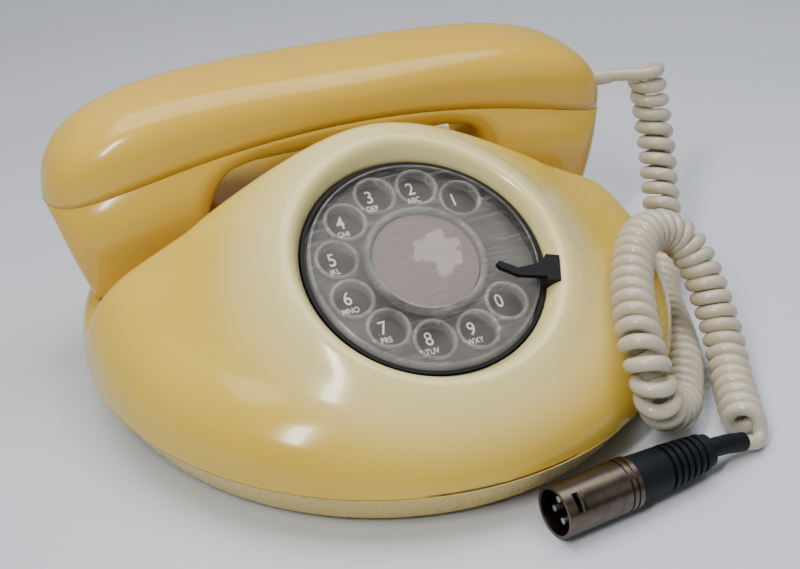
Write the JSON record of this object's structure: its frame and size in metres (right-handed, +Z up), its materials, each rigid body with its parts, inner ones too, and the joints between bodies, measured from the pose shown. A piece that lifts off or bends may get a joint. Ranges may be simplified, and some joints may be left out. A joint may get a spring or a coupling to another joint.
{
  "type": "rotary telephone",
  "caption": "Round desk telephone with a tilted rotary dial, a centre well, a lift-off handset across the rear and a coiled handset cord that ends in a connector.",
  "frame": {"origin": "on the table under the centre of the round body", "axes": "+X to the right along the handset, +Y to the rear, +Z up"},
  "size_m": [0.2704, 0.248, 0.1105],
  "materials": {
    "cream_plastic": "yellowed cream moulded plastic, glossy",
    "golden_plastic": "deeper yellowed moulded plastic, glossy",
    "black_plastic": "black moulded plastic, satin",
    "clear_plastic": "clear moulded plastic with fine scratches",
    "card": "pinkish brown paper card with a worn patch",
    "number_black": "dark plate with pale numbers",
    "rubber": "black rubber",
    "steel": "zinc plated steel",
    "brass": "plain brass",
    "nickel": "satin nickel plated, warm",
    "cord_plastic": "off white cord jacket, slightly glossy",
    "coil_winding": "varnished copper winding",
    "white_plastic": "white moulded nylon",
    "grey_metal": "drawn aluminium can"
  },
  "bodies": {
    "telephone": {"base_shell": "cream_plastic", "rubber_feet": "rubber", "upper_housing": "cream_plastic", "housing_screws": "steel", "line_cord_grommet": "rubber", "dial_bezel": "black_plastic", "number_plate": "number_black", "dial_frame": "steel", "dial_back_plate": "steel", "dial_screws": "steel", "finger_stop": "black_plastic", "dial_spring": "steel", "governor_cup": "steel", "pulse_contacts": "brass", "hook_bracket": "steel", "hook_pin": "steel", "hook_contacts": "brass", "ringer_frame": "steel", "ringer_coils": "coil_winding", "ringer_pin": "steel", "gong_left": "brass", "gong_right": "brass", "gong_screws": "steel", "volume_pin": "steel", "network_block": "black_plastic", "terminal_block": "black_plastic", "terminal_screws": "steel", "cord_lead": "cord_plastic", "cord_coil": "cord_plastic", "cord_tail": "cord_plastic", "plug_sleeve": "black_plastic", "plug_boot": "black_plastic", "plug_shell": "nickel", "plug_insert": "black_plastic", "plug_pins": "steel"},
    "dial": {"finger_wheel": "clear_plastic", "number_card": "card", "center_cap": "clear_plastic", "center_screw": "steel", "dial_shaft": "steel", "main_gear": "brass"},
    "pulse_train": {"pulse_shaft": "steel", "pulse_pinion": "brass", "speed_gear": "brass", "pulse_cam": "white_plastic"},
    "governor": {"governor_shaft": "steel", "governor_pinion": "brass", "governor_arms": "steel"},
    "handset": {"handset_upper": "golden_plastic", "handset_lower": "golden_plastic", "ear_cap": "golden_plastic", "mouth_cap": "golden_plastic", "receiver_capsule": "grey_metal", "transmitter_capsule": "grey_metal", "handset_screws": "steel", "cord_sleeve": "cord_plastic"},
    "plunger": {"hook_plunger": "cream_plastic"},
    "lever": {"hook_lever": "steel"},
    "clapper_arm": {"clapper": "steel"},
    "volume": {"volume_wheel": "white_plastic"}
  },
  "joints": [
    {"name": "dial_turn", "type": "hinge", "parent": "telephone", "child": "dial", "pos_m": [0, -0.044, 0.0652], "axis": [0, -0.4695, 0.8829], "range_deg": [-323, 0], "stiffness_Nm_per_rad": 0.004},
    {"name": "pulse_spin", "type": "hinge", "parent": "telephone", "child": "pulse_train", "pos_m": [0, -0.02678, 0.07435], "axis": [0, -0.4695, 0.8829], "range_deg": [0, 1090]},
    {"name": "governor_spin", "type": "hinge", "parent": "telephone", "child": "governor", "pos_m": [-0.0148, -0.03154, 0.07183], "axis": [0, -0.4695, 0.8829], "range_deg": [-3470, 0]},
    {"name": "handset_lift", "type": "slide", "parent": "telephone", "child": "handset", "axis": [0, 0, 1], "range_m": [0, 0.08]},
    {"name": "plunger_rise", "type": "slide", "parent": "telephone", "child": "plunger", "axis": [0, 0, 1], "range_m": [0, 0.0041]},
    {"name": "lever_turn", "type": "hinge", "parent": "telephone", "child": "lever", "pos_m": [-0.065, 0.045, 0.016], "axis": [0, 1, 0], "range_deg": [0, 13.5]},
    {"name": "clapper_swing", "type": "hinge", "parent": "telephone", "child": "clapper_arm", "pos_m": [0, 0.086, 0.04], "axis": [0, 1, 0], "range_deg": [-10, 10]},
    {"name": "volume_turn", "type": "hinge", "parent": "telephone", "child": "volume", "pos_m": [0.09153, 0.03331, 0.01], "axis": [0, 0, 1], "range_deg": [-120, 120]}
  ],
  "couplings": [
    {"joint": "pulse_spin", "follows": "dial_turn", "ratio": -3.3333},
    {"joint": "governor_spin", "follows": "dial_turn", "ratio": 10.667},
    {"joint": "plunger_rise", "follows": "handset_lift", "ratio": 0.05},
    {"joint": "lever_turn", "follows": "handset_lift", "rad_per_m": 2.9}
  ]
}
